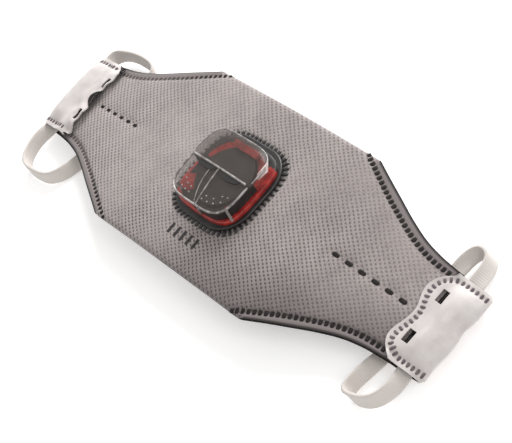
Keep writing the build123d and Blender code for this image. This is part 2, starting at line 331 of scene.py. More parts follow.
strap_section = [(-0.5, -0.3), (-0.5, 0.3), (-0.46, 0.5), (-0.3, 0.5), (-0.1, 0.5), (0.1, 0.5),
                 (0.3, 0.5), (0.46, 0.5), (0.5, 0.3), (0.5, -0.3), (0.46, -0.5), (0.3, -0.5),
                 (0.1, -0.5), (-0.1, -0.5), (-0.3, -0.5), (-0.46, -0.5)]
for side, points in ROUTES.items():
    line = route_line(f"{side}_route", points)
    travel = travel_along(line)
    even = np.linspace(0, travel[-1], STRAP_STEPS)
    line = np.stack([np.interp(even, travel, line[:, k]) for k in range(3)], 1)
    ahead = unit(np.gradient(line, axis=0))
    wide = np.array([broad_way(*p) for p in line])
    # the twist is spread along the strap
    kernel = np.hanning(TWIST_STEPS) / np.hanning(TWIST_STEPS).sum()
    half = TWIST_STEPS // 2
    padded = np.concatenate([np.repeat(wide[:1], half, 0), wide, np.repeat(wide[-1:], half, 0)])
    wide = np.stack([np.convolve(padded[:, k], kernel, "valid") for k in range(3)], 1)
    wide = unit(wide - ahead * np.sum(wide * ahead, axis=1, keepdims=True))
    thin = np.cross(ahead, wide)
    verts = np.concatenate([[p + w * a * STRAP_WIDE + t * b * STRAP_THICK
                             for a, b in strap_section]
                            for p, w, t in zip(line, wide, thin)])
    faces = tube_faces(len(line), len(strap_section))
    uv = [(a + 0.5, d) for d in even for a, b in strap_section]
    strap = make_piece(f"{side}_strap", verts, faces, [elastic], uv=uv)
    print(side, "strap runs", round(travel[-1], 1), "mm, lowest", round(verts[:, 2].min(), 2))
    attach(strap, "front_panel")
    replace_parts(strap, f"head_strap_{side}")
    tuple(line[0] * MM)
    [tuple(p * MM) for p in line[::2]] + [tuple(line[-1] * MM)]


# ---------------------------------------------------------------------------
# Front panel: cover web
# Grey polypropylene nonwoven, bonded by rows of small hot points. It is arched
# over the other webs, rolls round at the folds and is cut along the side seams.
# ---------------------------------------------------------------------------
BEND_X, BEND_Y = 605.0, 662.0
FOLD_HALF, FOLD_Y = 45.0, 37.6
PANEL_END = 103.0
FOLD_ROLL = 1.9
SEAM = [(46.5, 37.1), (55.2, 33.2), (65.2, 28.9), (74.5, 24.9), (84.0, 21.5),
        (92.0, 19.8), (100.0, 18.9), (104.0, 18.6)]
WELD = [(39.6, 37.3), (42.2, 36.2), (49.2, 32.9), (56.0, 29.6), (62.4, 26.6), (69.1, 23.8),
        (75.7, 21.1), (82.7, 18.8), (90.2, 17.2), (96.0, 16.7), (104.0, 16.6)]
RIGHT_DASHES, LEFT_DASHES = (60.5, 6.45, 6), (64.2, 5.3, 6)
VALVE_X, VALVE_Y = 1.0, 0.5
PORT_RADIUS = 15.0
TEETH_X, TEETH_Y = 20.4, 19.3
PORE_PITCH_X, PORE_PITCH_Y = 2.58, 2.04
COVER_THICK = 0.42
WEB_GAP = 0.03


def bonded_web(name, light, shade, pore, pore_depth):
    """Nonwoven with staggered rows of bonding points and a pressed strip along its cut
    edges. Its colour is darkened towards its lower right and along the weld line as painted shade."""
    web = Finish(name, Roughness=0.85, Sheen_Weight=0.25, Sheen_Roughness=0.5,
                 Specular_IOR_Level=0.25)
    x, y, z = web.place()
    drift = web.noise(0.11, 1.0) * 0.35
    across_web = x / PORE_PITCH_X + drift
    along_web = y / PORE_PITCH_Y + drift * 0.6
    first = (across_web + along_web).part()
    second = (across_web - along_web).part()
    away = (first * first * 1.15 + second * second * 0.5).root()
    ragged = web.noise(2.2, 2.0) * 0.26
    point = 1 - (away + ragged - 0.13).step(0.14, 0.34)
    cloud = (web.noise(0.05, 3.0).step(0.35, 0.68) * 0.55
             + web.noise(0.13, 2.0).step(0.35, 0.7) * 0.45)
    fibre = web.noise(1.5, 4.0, 0.7)
    streak = web.node("ShaderNodeTexNoise", {}, {
        "Vector": web.node("ShaderNodeVectorMath", {"operation": "MULTIPLY"},
                           {0: web.spot, 1: (1.6, 0.22, 1.0)}).outputs[0],
        "Scale": 1.0, "Detail": 3.0}).outputs["Fac"]
    ground = web.mix(cloud * 0.5 + (fibre - 0.5) * 1.6 + (Value(web, streak) - 0.5) * 1.1,
                     light, shade)
    fade = (web.noise(0.03, 2.0).step(0.3, 0.62) * 0.5 + 0.3 - x.step(42.0, 80.0) * 0.26
            - y.step(4.0, 30.0) * 0.16 + (-1 * y).step(8.0, 26.0) * 0.18)
    border = Value(web, web.node("ShaderNodeAttribute", {"attribute_name": "border"})
                   .outputs["Fac"])
    open_web = border.step(2.3, 3.4)
    # painted shade: darker towards the lower right, a little towards the right and the top
    painted_shade = ((x * 0.3 - y).step(22.0, 46.0) * 0.5 + x.step(15.0, 50.0) * 0.09
            + y.step(0.0, 26.0) * 0.1)
    cloth = web.mix(painted_shade, web.mix(point * fade * open_web, ground, pore), pore)
    weld_shade = (1 - ((border - 3.3) / 1.5).size().least(1.0)) * 0.55
    cloth = web.mix(weld_shade, cloth, pore)
    strip = web.mix(border.step(0.25, 0.9), tint(78, 71, 71), tint(137, 128, 127))
    web.set("Base Color", web.mix(border.step(1.7, 2.6), strip, cloth))
    return web.bump(fibre * 0.35 - point * open_web * 0.65 + 0.5, pore_depth)


grey_web = bonded_web("grey_bonded_web", tint(186, 176, 173), tint(148, 138, 136),
                      tint(84, 75, 75), 0.22)


def blotched(name, blotches, first, second, relief=None, **constants):
    """A finish in blotches of two shades. Blotches are a scale, a detail and where
    the second shade begins and is full; relief is a scale, a detail and a depth."""
    finish = Finish(name, **constants)
    finish.place()
    scale, detail, low, high = blotches
    finish.set("Base Color", finish.mix(finish.noise(scale, detail).step(low, high),
                                        first, second))
    if relief is None:
        return finish.material
    scale, detail, depth = relief
    return finish.bump(finish.noise(scale, detail), depth)


melted_edge = blotched("melted_edge", (0.8, 2.0, 0.3, 0.7), tint(62, 57, 57),
                       tint(104, 97, 95), (2.0, 2.0, 0.15), Roughness=0.5)


def curve_at(points, x):
    """Smooth line through the points, read at x."""
    px, py = np.array(points, float).T
    slope = np.gradient(py, px)
    x = np.clip(x, px[0], px[-1])
    i = np.clip(np.searchsorted(px, x) - 1, 0, len(px) - 2)
    run = px[i + 1] - px[i]
    t = (x - px[i]) / run
    return ((2 * t**3 - 3 * t**2 + 1) * py[i] + (t**3 - 2 * t**2 + t) * run * slope[i]
            + (3 * t**2 - 2 * t**3) * py[i + 1] + (t**3 - t**2) * run * slope[i + 1])


def bell(value, width):
    return np.exp(-(value / width) ** 2)


def outline_y(x):
    """Half height of the panel at x."""
    x = np.abs(x)
    return np.where(x <= FOLD_HALF, FOLD_Y, np.where(
        x < SEAM[0][0], FOLD_Y - (x - FOLD_HALF) / 1.5 * 0.5, curve_at(SEAM, x)))


def fold_share(x):
    """1 along the straight folds, 0 along the side seams."""
    return 1 - ease(np.abs(x), FOLD_HALF - 1.0, SEAM[0][0] + 0.5)


def arch(x, y):
    return CROWN - (BEND_X - np.sqrt(BEND_X**2 - x**2)) - y**2 / (2 * BEND_Y)


def roll_drop(x, y):
    """How far a web turns down where it rolls round the fold."""
    near = np.clip(1 - (outline_y(x) - np.abs(y)) / FOLD_ROLL, 0, 1)
    return 1.85 * (1 - np.sqrt(1 - near**2)) * fold_share(x)


def seam_pinch(x, y):
    gap = (np.abs(y) - curve_at(WELD, np.abs(x))) * 0.9
    return bell(gap, 1.1) * ease(np.abs(x), 38.5, 41.0)


def front_face(x, y):
    """Height of the front panel's outer face."""
    z = arch(x, y) - roll_drop(x, y) - 0.5 * seam_pinch(x, y)
    # a shallow valley along the dashes, and a pit at each
    z -= 0.25 * bell(y, 3.0) * ease(np.abs(x), 56, 60) * (1 - ease(np.abs(x), 94, 98))
    for sx, (first, pitch, count) in ((1, RIGHT_DASHES), (-1, LEFT_DASHES)):
        for i in range(count):
            z -= 0.45 * bell(x * sx - first - i * pitch, 2.4) * bell(y, 1.5)
    # pressed down under the valve and round its teeth
    ring = ((np.abs(x - VALVE_X) / TEETH_X)**4 + (np.abs(y - VALVE_Y) / TEETH_Y)**4)**0.25
    z -= 0.45 * (1 - ease(ring, 0.98, 1.08)) - 0.18 * bell(ring - 1.14, 0.07)
    # slow waves of a soft web, and the droop of its edges
    z += 0.16 * np.sin(x / 15 + 1.2) * np.sin(y / 12 + 0.6) + 0.1 * np.sin(x / 7.5 - y / 9)
    border = outline_y(x) - np.abs(y)
    z -= 0.6 * np.clip(1 - border / 13, 0, 1)**2
    return z - 0.25 * (1 - ease(border, 0.0, 0.7)) * (1 - fold_share(x))


EDGE_ROWS = [0, 0.1, 0.35, 0.7, 1.1, 1.5, 2.0, 2.5, 3.0, 3.5, 4.0, 4.6, 5.4]


def front_grid(grow=0.0):
    """Points of the front face in columns along X, rows across it. Along the side
    seams the edge stands out by grow."""
    columns = np.concatenate([np.linspace(-PANEL_END, -SEAM[0][0], 54),
                              np.linspace(-FOLD_HALF, FOLD_HALF, 88),
                              np.linspace(SEAM[0][0], PANEL_END, 54)])
    points = []
    for x in columns:
        top = float(outline_y(x) + grow * (1 - fold_share(x)))
        rows = [top - d for d in EDGE_ROWS]
        y = np.concatenate([[-r for r in rows],
                            np.linspace(-rows[-1], rows[-1], 50)[1:-1], rows[::-1]])
        points.append(np.stack([np.full_like(y, x), y, front_face(np.full_like(y, x), y)], 1))
    return np.array(points)


def normals_of(grid):
    """Unit normals of a grid of points; they point up where X and Y both grow."""
    return unit(np.cross(np.gradient(grid, axis=0), np.gradient(grid, axis=1)))


def solid_sheet(name, outer, inner, materials, keep=None, cut_edge=None, inner_slot=0,
                flip=False):
    """A closed sheet between two grids of points. Cells that keep rules out are open.
    cut_edge says which of the walls round its edges take the second material."""
    n, m = outer.shape[:2]
    size = n * m
    mark = lambda i, j: i * m + j
    kept = np.ones((n - 1, m - 1), bool) if keep is None else keep
    faces, which = [], []
    for i in range(n - 1):
        for j in range(m - 1):
            if not kept[i, j]:
                continue
            a, b, c, d = mark(i, j), mark(i + 1, j), mark(i + 1, j + 1), mark(i, j + 1)
            faces.append((a, b, c, d))
            which.append(0)
            faces.append((a + size, d + size, c + size, b + size))
            which.append(inner_slot)
            for (di, dj), (p, q) in (((0, -1), (a, b)), ((1, 0), (b, c)),
                                     ((0, 1), (c, d)), ((-1, 0), (d, a))):
                k, l = i + di, j + dj
                if 0 <= k < n - 1 and 0 <= l < m - 1 and kept[k, l]:
                    continue
                faces.append((q, p, p + size, q + size))
                spot = outer.reshape(-1, 3)[p]
                which.append(1 if cut_edge is not None and cut_edge(*spot) else 0)
    if flip:
        faces = [f[::-1] for f in faces]
    verts = np.concatenate([outer.reshape(-1, 3), inner.reshape(-1, 3)])
    used = sorted({v for f in faces for v in f})
    index = {v: i for i, v in enumerate(used)}
    faces = [tuple(index[v] for v in f) for f in faces]
    piece = make_piece(name, verts[used], faces, materials, which)
    border = piece.data.attributes.new("border", "FLOAT", "POINT")
    x, y = verts[used][:, 0], verts[used][:, 1]
    border.data.foreach_set("value", outline_y(x) - np.abs(y) + 10 * fold_share(x))
    piece.data.set_sharp_from_angle(angle=math.radians(50))
    return piece


front = front_grid()
front_normal = normals_of(front)
middle = (front[:-1, :-1] + front[1:, 1:]) / 2
port_open = np.hypot(middle[..., 0] - VALVE_X, middle[..., 1] - VALVE_Y) > PORT_RADIUS


def front_web(name, depth, thickness, materials, grow=0.0):
    face = front_grid(grow)
    piece = solid_sheet(name, face - front_normal * depth,
                        face - front_normal * (depth + thickness), materials,
                        keep=port_open, cut_edge=lambda x, y, z: abs(x) > FOLD_HALF + 0.5)
    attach(piece, "front_panel")
    return piece


cover = front_web("front_cover", 0.0, COVER_THICK, [grey_web, melted_edge])
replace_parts(cover, "front_cover_web")


# ---------------------------------------------------------------------------
# Front panel: carbon felt
# Needled felt loaded with activated carbon, laid under the cover web. Its dark
# cut edge shows all along the side seams.
# ---------------------------------------------------------------------------
FELT_THICK, FELT_PROUD = 0.62, 0.7
FELT_DEPTH = COVER_THICK + WEB_GAP
felt = blotched("carbon_felt", (1.1, 3.0, 0.3, 0.7), tint(36, 33, 34), tint(62, 58, 58),
                (2.5, 3.0, 0.2), Roughness=0.9, Specular_IOR_Level=0.2)
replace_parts(front_web("front_carbon", FELT_DEPTH, FELT_THICK, [felt, felt],
                      grow=FELT_PROUD), "front_carbon_felt")


# ---------------------------------------------------------------------------
# Front panel: filter web and lining
# Melt-blown filter and a soft spun lining, both white, welded in with the rest.
# The lining is lightly embossed; the cut edges are pressed grey by the weld.
# ---------------------------------------------------------------------------
FILTER_THICK, LINING_THICK = 0.36, 0.26
FILTER_DEPTH = FELT_DEPTH + FELT_THICK + WEB_GAP
LINING_DEPTH = FILTER_DEPTH + FILTER_THICK + WEB_GAP


def plain_web(name, light, shade, relief):
    web = Finish(name, Roughness=0.9, Sheen_Weight=0.2, Specular_IOR_Level=0.2)
    x, y, z = web.place()
    fibre = web.noise(1.2, 5.0, 0.7)
    point = (x * 1.9).wave() * (y * 1.9).wave()
    web.set("Base Color", web.mix((fibre - 0.5) * 1.6 + web.noise(0.06).step(0.3, 0.7) * 0.5,
                                  light, shade))
    return web.bump(fibre * 0.6 - point.step(0.6, 0.9) * 0.4 + 0.4, relief)


filter_web = plain_web("filter_web", tint(232, 230, 226), tint(214, 211, 206), 0.1)
lining_web = plain_web("lining_web", tint(238, 236, 231), tint(222, 219, 214), 0.18)
pressed_edge = blotched("pressed_edge", (0.9, 2.0, 0.3, 0.7), tint(128, 120, 117),
                        tint(160, 152, 147), (2.0, 2.0, 0.1), Roughness=0.6)
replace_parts(front_web("front_filter", FILTER_DEPTH, FILTER_THICK, [filter_web, pressed_edge]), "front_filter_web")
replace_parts(front_web("front_lining", LINING_DEPTH, LINING_THICK, [lining_web, pressed_edge]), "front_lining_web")


# ---------------------------------------------------------------------------
# Back panels
# Two panels of cover, filter and lining, folded behind the front one. They are
# welded to it along the side seams and free along the face opening.
# ---------------------------------------------------------------------------
BACK_END = 97.0
OPENING_Y = 8.8
BACK_CROWN = CROWN - 6.5
LAYERS = (("cover", 0.0, 0.42, "grey_nonwoven"), ("filter", 0.45, 0.45, "white_web"),
          ("lining", 0.93, 0.28, "white_web"))


def opening_y(x):
    return OPENING_Y - 0.3 * (np.abs(x) / BACK_END)**2


def back_face(x, y):
    """Height of a back panel's outer face, which looks down."""
    free = BACK_CROWN - x**2 / (2 * 851) + y**2 / (2 * 852)
    pressed = arch(x, y) - 2.75 - 0.95 * fold_share(x) + 0.45 * seam_pinch(x, y)
    edge = outline_y(x) - 0.15 - np.abs(y)
    z = free + (pressed - free) * (1 - ease(edge, 3.0, 15.0))
    return z + roll_drop(x, y) + 0.12 * np.sin(x / 14) * np.sin(y / 9)


for side, sy, body in (("upper", 1, "upper_panel"), ("lower", -1, "lower_panel")):
    for hand, sx in (("right", 1), ("left", -1)):
        stations = np.concatenate([np.linspace(0, FOLD_HALF, 40),
                                   np.linspace(SEAM[0][0], BACK_END, 44)])
        grid = []
        for x in stations:
            edge = float(outline_y(x)) - (0.0 if x <= FOLD_HALF else 0.1)
            near = [edge - d for d in EDGE_ROWS]
            low = float(opening_y(x))
            near = [r for r in near if r > low + 1.0]
            count = 24 + len(EDGE_ROWS) - len(near)
            y = np.concatenate([np.linspace(low, near[-1], count)[:-1], near[::-1]])
            grid.append(np.stack([np.full_like(y, x * sx), y * sy,
                                  back_face(np.full_like(y, x), y)], 1))
        grid = np.array(grid)
        down = normals_of(grid)
        down = np.where(down[..., 2:] > 0, -down, down)
        down = np.where(np.abs(down[..., 2:]) < 1e-6, (0, 0, -1.0), down)
        for layer, depth, thickness, slot in LAYERS:
            name = f"{side}_{layer}_{hand}"
            faces_of = {"cover": [grey_web, melted_edge], "filter": [filter_web, pressed_edge],
                        "lining": [lining_web, pressed_edge]}[layer]
            piece = solid_sheet(name, grid - down * depth, grid - down * (depth + thickness),
                                faces_of, flip=sx * sy > 0,
                                cut_edge=lambda x, y, z: abs(x) > FOLD_HALF + 0.5)
            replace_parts(piece, f"{side}_{layer}_web")
            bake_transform(piece)


# ---------------------------------------------------------------------------
# Nose foam and nose clip
# A strip of open-cell foam stuck inside the upper panel, and a soft aluminium
# strip stuck on its outside. Both bend with the panel.
# ---------------------------------------------------------------------------
NOSE_Y = 14.5
NOSE_RING = 20


def nose_strip(name, half_length, half_width, level, thick, crowned, material, sx):
    """Half of a strip along the nose, from the middle to its round end."""
    rows = []
    for x in np.concatenate([np.linspace(0, half_length - half_width, 30),
                             half_length - half_width
                             + half_width * np.sin(np.linspace(0.12, 1.5, 8))]):
        over = max(0.0, x - (half_length - half_width)) / half_width
        wide = half_width * math.sqrt(max(0.02, 1 - over**2))
        ring = []
        for k in range(NOSE_RING):
            a = 2 * math.pi * k / NOSE_RING
            c, s = math.cos(a), math.sin(a)
            y = wide * math.copysign(abs(c)**0.45, c)
            z = math.copysign(abs(s)**0.6, s)
            z = thick * (0.5 + 0.5 * z * (1 - crowned * (y / half_width)**2))
            ring.append((x * sx, NOSE_Y + y, back_face(np.float64(x), NOSE_Y + y) + level + z))
        rows.append(ring)
    verts = [p for ring in rows for p in ring]
    faces = tube_faces(len(rows), NOSE_RING)
    if sx > 0:
        faces = [f[::-1] for f in faces]
    piece = make_piece(name, verts, faces, [material])
    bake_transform(piece)
    return piece


foam = Finish("nose_foam", Roughness=0.95, Specular_IOR_Level=0.15)
foam.place()
cells = foam.node("ShaderNodeTexVoronoi", {}, {"Vector": foam.spot, "Scale": 2.2})
hollow = Value(foam, cells.outputs["Distance"])
# darker in the hollow of each cell: painted shade in the pits
foam.set("Base Color", foam.mix(hollow.step(0.1, 0.6), tint(38, 38, 40), tint(84, 84, 86)))
foam = foam.bump(hollow, 0.3)
alloy = Finish("clip_alloy", Metallic=1.0)
x, y, z = alloy.place()
grain = alloy.noise(0.6, 3.0)
alloy.set("Base Color", alloy.mix(grain, tint(206, 208, 210), tint(178, 180, 184)))
alloy.set("Roughness", grain * 0.2 + 0.28)
alloy = alloy.bump((y * 9.0).wave() * 0.5 + grain, 0.02)
for hand, sx in (("right", 1), ("left", -1)):
    pad = nose_strip(f"nose_foam_{hand}", 46, 4.5, 1.25, 1.7, 0.5, foam, sx)
    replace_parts(pad, "nose_foam")
    clip = nose_strip(f"nose_clip_{hand}", 45, 2.5, -0.85, 0.8, 0.1, alloy, sx)
    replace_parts(clip, "nose_clip")


# ---------------------------------------------------------------------------
# Weld marks
# An ultrasonic horn with a toothed edge joins the webs: short dark bars along
# the four side seams and six longer dashes on the middle line at each end.
# ---------------------------------------------------------------------------
SEAM_PITCH = 2.3


def marks_tree():
    """Puts a small rounded block every pitch along the host's line, square to it."""
    tree = bpy.data.node_groups.new("marks_on_a_line", "GeometryNodeTree")
    face = tree.interface
    for label, kind in (("Line", "NodeSocketGeometry"), ("Pitch", "NodeSocketFloat"),
                        ("Block", "NodeSocketVector"), ("Roundness", "NodeSocketFloat"),
                        ("Bulge", "NodeSocketVector"), ("Finish", "NodeSocketMaterial")):
        face.new_socket(name=label, in_out="INPUT", socket_type=kind)
    face.new_socket(name="Marks", in_out="OUTPUT", socket_type="NodeSocketGeometry")

    def node(kind, settings=(), inputs=()):
        made = tree.nodes.new(kind)
        for key, value in dict(settings).items():
            setattr(made, key, value)
        for key, value in dict(inputs).items():
            if isinstance(value, bpy.types.NodeSocket):
                tree.links.new(value, made.inputs[key])
            else:
                made.inputs[key].default_value = value
        return made

    given = node("NodeGroupInput").outputs
    line = node("GeometryNodeMeshToCurve", {}, {"Mesh": given["Line"]})
    dots = node("GeometryNodeResampleCurve", {"mode": "LENGTH"},
                {"Curve": line.outputs[0], "Length": given["Pitch"]})
    block = node("GeometryNodeMeshCube", {}, {"Size": given["Block"]})
    soft = node("GeometryNodeSubdivisionSurface", {},
                {"Mesh": block.outputs["Mesh"], "Level": 2, "Edge Crease": given["Roundness"]})
    spot = node("GeometryNodeInputPosition")
    lean = node("ShaderNodeVectorMath", {"operation": "MULTIPLY"},
                {0: spot.outputs[0], 1: given["Bulge"]})
    upright = node("ShaderNodeVectorMath", {"operation": "ADD"},
                   {0: lean.outputs[0], 1: (0.0, 0.0, 1.0)})
    along = node("GeometryNodeInputTangent")
    facing = node("FunctionNodeAlignRotationToVector", {"axis": "X"},
                  {"Vector": along.outputs[0]})
    level = node("FunctionNodeAlignRotationToVector", {"axis": "Z", "pivot_axis": "X"},
                 {"Rotation": facing.outputs[0], "Vector": upright.outputs[0]})
    placed = node("GeometryNodeInstanceOnPoints", {},
                  {"Points": dots.outputs[0], "Instance": soft.outputs[0],
                   "Rotation": level.outputs[0]})
    real = node("GeometryNodeRealizeInstances", {}, {"Geometry": placed.outputs[0]})
    shaded = node("GeometryNodeSetShadeSmooth", {}, {"Geometry": real.outputs[0]})
    painted = node("GeometryNodeSetMaterial", {},
                   {"Geometry": shaded.outputs[0], "Material": given["Finish"]})
    result = node("NodeGroupOutput")
    tree.links.new(painted.outputs[0], result.inputs[0])
    return tree


MARKS = marks_tree()


def row_of_marks(name, lines, pitch, block, roundness, material, closed=False):
    """Marks along one or more lines of points; block is along, across and deep."""
    verts, edges = [], []
    for line in lines:
        start = len(verts)
        verts += [tuple(np.array(p) * MM) for p in line]
        edges += [(start + i, start + i + 1) for i in range(len(line) - 1)]
        if closed:
            edges.append((len(verts) - 1, start))
    host_mesh = bpy.data.meshes.new(name + "_line")
    host_mesh.from_pydata(verts, edges, [])
    host = bpy.data.objects.new(name + "_line", host_mesh)
    bpy.context.scene.collection.objects.link(host)
    maker = host.modifiers.new("marks", "NODES")
    maker.node_group = MARKS
    sockets = {s.name: s.identifier for s in MARKS.interface.items_tree
               if s.in_out == "INPUT"}
    maker[sockets["Pitch"]] = pitch * MM
    maker[sockets["Block"]] = [side * MM for side in block]
    maker[sockets["Roundness"]] = roundness
    maker[sockets["Bulge"]] = [1000 / BEND_X, 1000 / BEND_Y, 0.0]
    maker[sockets["Finish"]] = material
    bpy.context.view_layer.update()
    shown = host.evaluated_get(bpy.context.evaluated_depsgraph_get())
    mesh = bpy.data.meshes.new_from_object(shown)
    mesh.name = name
    bpy.data.objects.remove(host)
    piece = bpy.data.objects.new(name, mesh)
    bpy.context.scene.collection.objects.link(piece)
    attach(piece, "front_panel")
    return piece


def along_front(points, lift):
    """Points on the front face, from x and y, lifted a little."""
    return [(x, y, float(front_face(np.float64(x), np.float64(y))) + lift) for x, y in points]


melted = Finish("melted_mark", Roughness=0.6, Specular_IOR_Level=0.15)
along_mask, across_mask, _ = melted.place()
melted.set("Base Color", melted.mix(
    (-1 * along_mask).step(48.0, 74.0) * across_mask.size().step(6.0, 12.0) * 0.75,
    melted.mix(melted.noise(0.9, 3.0).step(0.3, 0.75), tint(30, 25, 26), tint(54, 47, 47)),
    tint(112, 103, 101)))
melted = melted.bump(melted.noise(2.0, 2.0), 0.12)

for hand, sx, block in (("right", 1, (1.5, 2.35, 0.6)), ("left", -1, (1.3, 1.9, 0.45))):
    seam_lines = [along_front([(sx * x, sy * float(curve_at(WELD, x)))
                               for x in np.linspace(41.2, 98.5, 60)], 0.02) for sy in (1, -1)]
    seam_marks = row_of_marks(f"{hand}_seam_welds", seam_lines, SEAM_PITCH, block, 0.5,
                              melted)

for hand, sx, (first, pitch, count), block in (
        ("right", 1, RIGHT_DASHES, (3.9, 1.8, 0.6)), ("left", -1, LEFT_DASHES, (2.7, 1.5, 0.5))):
    dash_line = along_front([(sx * x, 0.0) for x in
                             np.linspace(first, first + (count - 1) * pitch, 41)], 0.0)
    dashes = row_of_marks(f"{hand}_middle_welds", [dash_line], pitch, block, 0.35, melted)


# ---------------------------------------------------------------------------
# Batch mark
# Five plain bars under the valve, printed on the cover web in a dark ink that
# is thin in places.
# ---------------------------------------------------------------------------
BAR_PITCH, BAR_Y = 3.7, -25.6
ink = blotched("dark_ink", (2.5, 3.0, 0.45, 0.75), tint(34, 28, 29), tint(96, 87, 86),
               Roughness=0.7)
bar_line = along_front([(x, BAR_Y) for x in np.linspace(-6.2, 8.6, 9)], 0.02)
batch_mark = row_of_marks("batch_mark", [bar_line], BAR_PITCH, (1.5, 4.4, 0.12), 0.85, ink)


# ---------------------------------------------------------------------------
# Strap tabs
# White laminate folded round each end of the mask and welded through in a row
# of small pits. The front flap has two lobes and two punched slots.
# ---------------------------------------------------------------------------
TAB_SKIN = 0.55
END_ROW_Y = 16.1
TAB_TOP = [(93.5, 10.9), (96.0, 10.6), (100.0, 10.0), (104.0, 9.45), (109.0, 8.8),
           (113.0, 7.6), (116.0, 5.9)]
TAB_TURN = [(117.1, 4.4), (116.0, 2.7)]
TAB_UNDER = [(111.5, 1.2), (104.0, 0.7), (95.8, 2.6)]
RIGHT_RIM = [(-18.6, 103.2), (-17.4, 101.9), (-16.0, 99.9), (-14.2, 98.5), (-12.2, 97.6),
             (-9.5, 97.6), (-6.2, 98.5), (-2.0, 99.4), (1.2, 99.2), (4.0, 98.0), (7.6, 96.9),
             (10.2, 97.0), (12.8, 98.1), (15.3, 100.4), (16.8, 102.3), (18.6, 103.2)]
LEFT_RIM = [(-18.6, 97.0), (-17.2, 94.9), (-14.5, 93.9), (-11.2, 94.6), (-8.0, 95.0),
            (-5.6, 93.6), (-3.6, 95.0), (-2.0, 96.9), (1.0, 97.2), (4.0, 96.0), (7.0, 94.9),
            (9.7, 94.8), (12.5, 94.8), (15.0, 95.4), (17.0, 97.2), (18.6, 99.6)]
TABS = {"right": (1, RIGHT_RIM, (102.4, 105.4)), "left": (-1, LEFT_RIM, (95.7, 97.5))}
SLOT_Y = (6.1, 11.1)

white_tab = Finish("white_laminate", Roughness=0.55, Sheen_Weight=0.15,
                   Subsurface_Weight=0.05)
white_tab.place()
mottle = white_tab.noise(0.18, 3.0)
nap = white_tab.noise(1.6, 4.0, 0.7)
white_tab.set("Base Color", white_tab.mix(mottle.step(0.3, 0.7) * 0.6 + (nap - 0.5) * 0.6,
                                          tint(238, 229, 225), tint(214, 203, 199)))
white_tab = white_tab.bump(nap * 0.5 + mottle, 0.12)
# The tab's inner faces are dark grey: painted shade inside the folded white tab.
tab_inside_shade = Finish("tab_inside_shade", Roughness=0.9)
tab_inside_shade.place()
tab_inside_shade.set("Base Color", tab_inside_shade.mix(tab_inside_shade.noise(0.4), tint(30, 28, 32),
                                            tint(52, 48, 52)))
tab_inside_shade = tab_inside_shade.material
tab_pit = blotched("tab_pit", (0.7, 2.0, 0.3, 0.7), tint(92, 79, 85), tint(122, 110, 113),
                   (2.0, 2.0, 0.1), Roughness=0.5)


def line_through(points, count):
    """Evenly spaced points on a smooth line through the given ones."""
    points = np.array(points, float)
    lengths = travel_along(points)
    at = np.linspace(0, lengths[-1], count)
    return np.stack([curve_at(np.stack([lengths, points[:, k]], 1), at) for k in (0, 1)], 1)


turn_line = line_through(TAB_TOP[-1:] + TAB_TURN + TAB_UNDER, 70)[1:]


def tab_shape(x, y, z, upper, lifted, rim):
    """Presses the tab flat at its ends, puffs it between and sinks the weld rows."""
    low = curve_at([(93.0, 2.8), (104.0, 0.7), (111.5, 1.2), (116.0, 2.7), (118.0, 3.6)], x)
    high = curve_at(TAB_TOP + [(118.0, 4.9)], x)
    centre = low + (high - low) * 0.42
    start = (101.5, 106.0) if upper else (96.0, 104.0)
    press = 1 - 0.34 * ease(np.abs(y), 10.5, 18.5) * ease(x, *start)
    z = centre + (z - centre) * press
    if upper and lifted:
        z += 1.0 * ease(x, 100.0, 108.0)
    if upper:
        puff = (1 - (y / 16.0)**2) if abs(y) < 16 else 0.0
        z += 1.1 * puff * ease(x, 103.5, 109.0) * (1 - ease(x, 112.0, 117.5))
        edge = float(curve_at(rim, y))
        z -= 0.4 * bell(x - edge - 2.0, 0.9) * (1 - ease(np.abs(y), 14.5, 16.5))
        z -= 0.4 * bell(np.abs(y) - END_ROW_Y, 0.8) * (1 - ease(x, 115.0, 117.5))
        z -= 0.55 * bell(x - edge - 7.6, 1.3) * bell(y, 8.5)
        z += 0.25 * bell(x - edge, 0.8)
        if lifted:
            z += 1.7 * (1 - ease(x, edge + 1.0, edge + 11.0)) * (1 - ease(abs(y), 12.0, 17.0))
            z += 1.2 * ease(x, edge, edge + 6.0) * (1 - ease(x, 112.0, 118.0))
            z += 0.5 * np.sin(y * 0.9 + 0.7) * (1 - ease(x, edge, edge + 5.0))
    return z


def fold_in(x, y, sx):
    """The folded edge draws in at its ends, and the right one once more between."""
    draw = 1.1 * bell(y - 3.5, 3.2) + 0.5 * bell(y + 12, 4.0) if sx > 0 else 0.0
    return (draw + 1.2 * ease(abs(y), 17.0, 18.6)) * ease(x, 110.0, 116.5)


